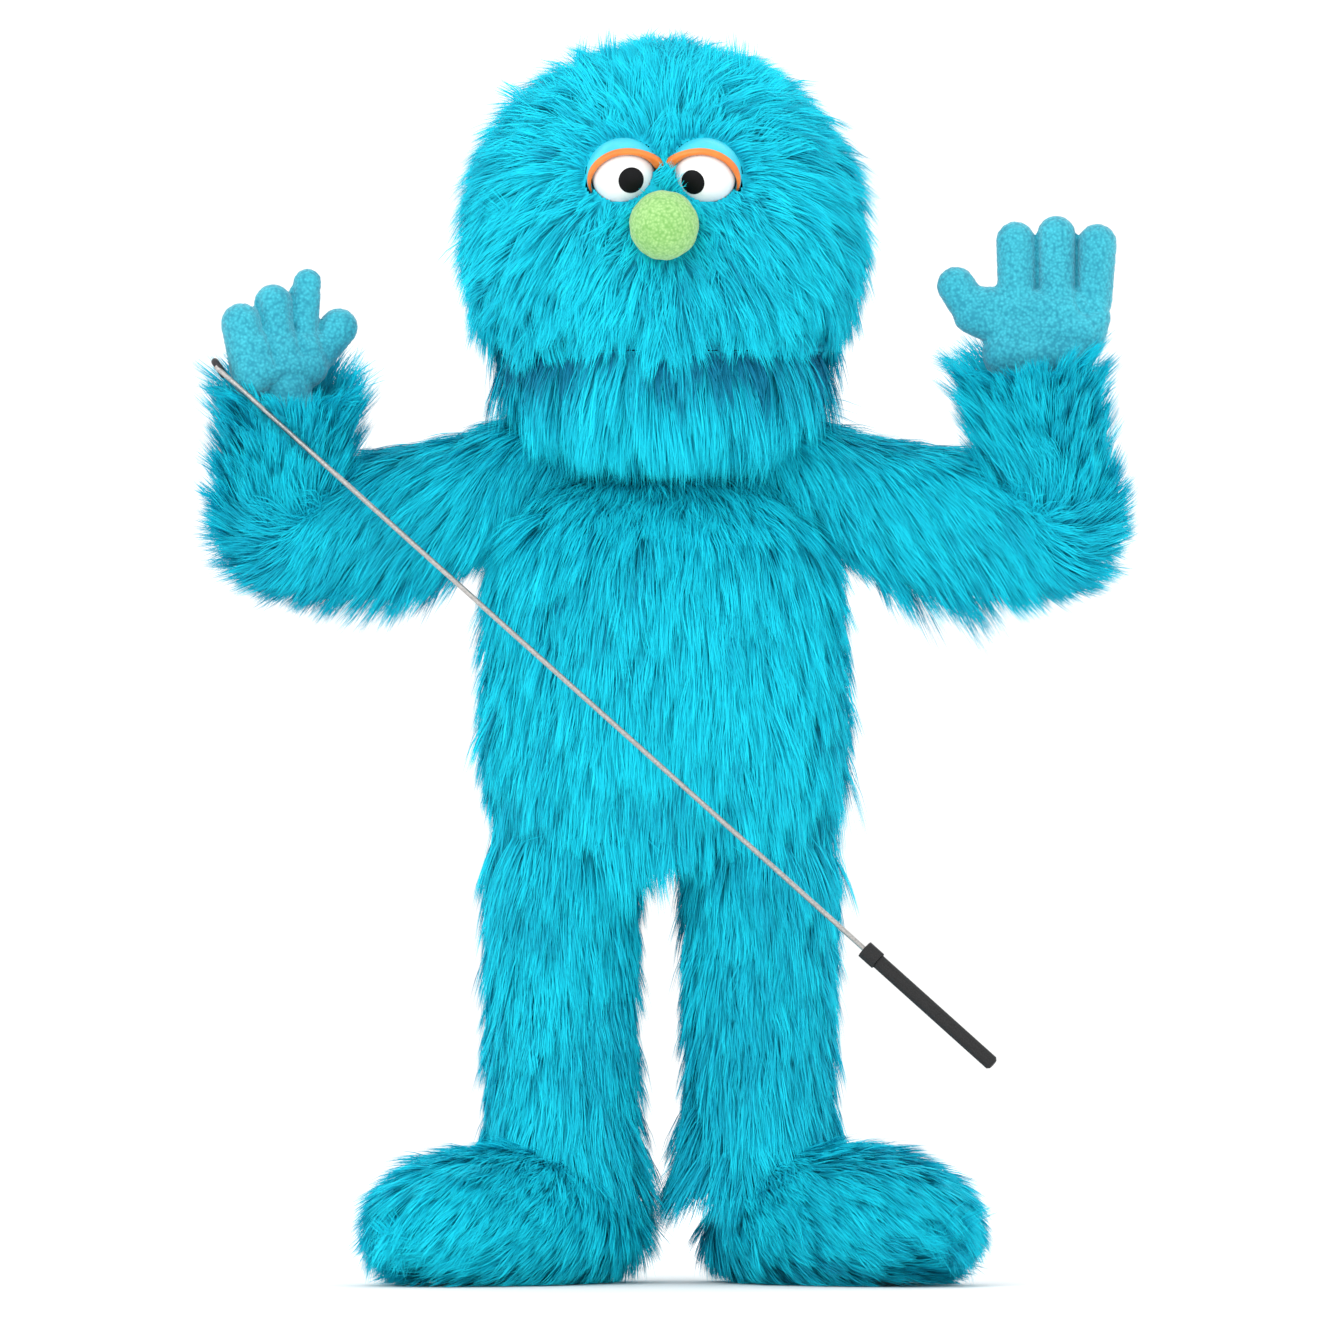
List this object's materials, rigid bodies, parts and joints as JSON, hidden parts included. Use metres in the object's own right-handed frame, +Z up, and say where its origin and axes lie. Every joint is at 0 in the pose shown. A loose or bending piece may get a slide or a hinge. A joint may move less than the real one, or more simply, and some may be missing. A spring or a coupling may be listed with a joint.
{
  "type": "moving mouth puppet",
  "caption": "Furry full-body hand puppet with a hinged foam mouth, bulging eyes, ball nose, stuffed arms and legs, splayed feet and a steel rod on one hand.",
  "frame": {"origin": "middle of the hand entry, an oval hole in the back of the body, where the performer's forearm goes in and holds the puppet up", "axes": "+Z up, -Y the way the face looks, +X towards the puppet's left hand"},
  "size_m": [0.5589, 0.2523, 0.751],
  "materials": {
    "fur": "long-pile acrylic fur, turquoise, matte with a soft sheen",
    "foam": "open-cell upholstery foam, matte",
    "stuffing": "polyester fibre filling, matte",
    "lining": "smooth woven lining, dark teal",
    "felt": "wool felt, dark red, matte",
    "board": "stiff fibreboard, matte",
    "elastic": "black woven elastic",
    "eye_white": "moulded white plastic, glossy",
    "pupil": "moulded black plastic, glossy",
    "lid": "light turquoise plastic, satin",
    "lid_trim": "orange plastic rim, satin",
    "nose": "yellow-green fleece, matte",
    "fleece": "light turquoise pilled fleece, matte",
    "sole": "short-pile fabric, dark turquoise",
    "washer": "white plastic lock washer",
    "eyelet": "black rubber ring",
    "steel": "plain steel wire, satin",
    "grip": "black closed-cell foam, matte"
  },
  "bodies": {
    "torso": {"torso_fur_cover": "fur", "torso_foam_liner": "foam", "torso_lining": "lining", "entry_binding": "elastic"},
    "neck": {"neck_sleeve": "lining"},
    "head": {"head_fur_cover": "fur", "head_foam_core": "foam", "upper_mouth_board": "board", "upper_mouth_felt": "felt", "mouth_hinge_tape": "elastic", "finger_pocket": "elastic", "eye_white_right": "eye_white", "eye_white_left": "eye_white", "pupil_right": "pupil", "pupil_left": "pupil", "eyelid_right": "lid", "eyelid_left": "lid", "eyelid_trim_right": "lid_trim", "eyelid_trim_left": "lid_trim", "nose": "nose", "nose_washer": "washer"},
    "jaw": {"jaw_fur_cover": "fur", "jaw_foam": "foam", "lower_mouth_board": "board", "lower_mouth_felt": "felt", "thumb_pocket": "elastic"},
    "upper_arm_right": {"upper_arm_stuffing_right": "stuffing", "upper_arm_fur_cover_right": "fur"},
    "forearm_right": {"forearm_stuffing_right": "stuffing", "forearm_fur_cover_right": "fur"},
    "hand_right": {"hand_right": "fleece", "rod_eyelet": "eyelet"},
    "upper_arm_left": {"upper_arm_stuffing_left": "stuffing", "upper_arm_fur_cover_left": "fur"},
    "forearm_left": {"forearm_stuffing_left": "stuffing", "forearm_fur_cover_left": "fur"},
    "hand_left": {"hand_left": "fleece"},
    "rod": {"arm_rod": "steel", "rod_collar": "grip", "rod_grip": "grip"},
    "thigh_right": {"thigh_stuffing_right": "stuffing", "thigh_fur_cover_right": "fur"},
    "shin_right": {"shin_stuffing_right": "stuffing", "shin_fur_cover_right": "fur", "foot_stuffing_right": "stuffing", "foot_fur_cover_right": "fur", "sole_right": "sole"},
    "thigh_left": {"thigh_stuffing_left": "stuffing", "thigh_fur_cover_left": "fur"},
    "shin_left": {"shin_stuffing_left": "stuffing", "shin_fur_cover_left": "fur", "foot_stuffing_left": "stuffing", "foot_fur_cover_left": "fur", "sole_left": "sole"}
  },
  "joints": [
    {"name": "neck_turn", "type": "hinge", "parent": "torso", "child": "neck", "pos_m": [0, -0.037, 0.1535], "axis": [0, 0, 1], "range_deg": [-25, 25]},
    {"name": "neck_nod", "type": "hinge", "parent": "neck", "child": "head", "pos_m": [0, -0.037, 0.185], "axis": [-1, 0, 0], "range_deg": [-12, 12]},
    {"name": "mouth_open", "type": "hinge", "parent": "head", "child": "jaw", "pos_m": [0, -0.063, 0.228], "axis": [1, 0, 0], "range_deg": [0, 28], "stiffness_Nm_per_rad": 0.25, "springref_deg": -28.65},
    {"name": "shoulder_right", "type": "hinge", "parent": "torso", "child": "upper_arm_right", "pos_m": [-0.11, -0.069, 0.143], "axis": [0, 1, 0], "range_deg": [-40, 10]},
    {"name": "elbow_right", "type": "hinge", "parent": "upper_arm_right", "child": "forearm_right", "pos_m": [-0.234, -0.085, 0.119], "axis": [0, 1, 0], "range_deg": [-45, 8]},
    {"name": "wrist_right", "type": "hinge", "parent": "forearm_right", "child": "hand_right", "pos_m": [-0.231, -0.105, 0.196], "axis": [0, 1, 0], "range_deg": [-20, 15]},
    {"name": "shoulder_left", "type": "hinge", "parent": "torso", "child": "upper_arm_left", "pos_m": [0.11, -0.069, 0.143], "axis": [0, -1, 0], "range_deg": [-40, 10]},
    {"name": "elbow_left", "type": "hinge", "parent": "upper_arm_left", "child": "forearm_left", "pos_m": [0.24, -0.085, 0.119], "axis": [0, -1, 0], "range_deg": [-45, 8]},
    {"name": "wrist_left", "type": "hinge", "parent": "forearm_left", "child": "hand_left", "pos_m": [0.224, -0.101, 0.213], "axis": [0, -1, 0], "range_deg": [-20, 15]},
    {"name": "rod_swing", "type": "hinge", "parent": "hand_right", "child": "rod", "pos_m": [-0.275, -0.129, 0.2185], "axis": [0, 1, 0], "range_deg": [-8, 40]},
    {"name": "hip_right", "type": "hinge", "parent": "torso", "child": "thigh_right", "pos_m": [-0.063, -0.071, -0.079], "axis": [-1, 0, 0], "range_deg": [-20, 30]},
    {"name": "knee_right", "type": "hinge", "parent": "thigh_right", "child": "shin_right", "pos_m": [-0.063, -0.071, -0.169], "axis": [1, 0, 0], "range_deg": [0, 50], "stiffness_Nm_per_rad": 0.6, "springref_deg": -6.88},
    {"name": "hip_left", "type": "hinge", "parent": "torso", "child": "thigh_left", "pos_m": [0.059, -0.071, -0.079], "axis": [-1, 0, 0], "range_deg": [-20, 30]},
    {"name": "knee_left", "type": "hinge", "parent": "thigh_left", "child": "shin_left", "pos_m": [0.059, -0.071, -0.169], "axis": [1, 0, 0], "range_deg": [0, 50], "stiffness_Nm_per_rad": 0.6, "springref_deg": -6.88}
  ]
}
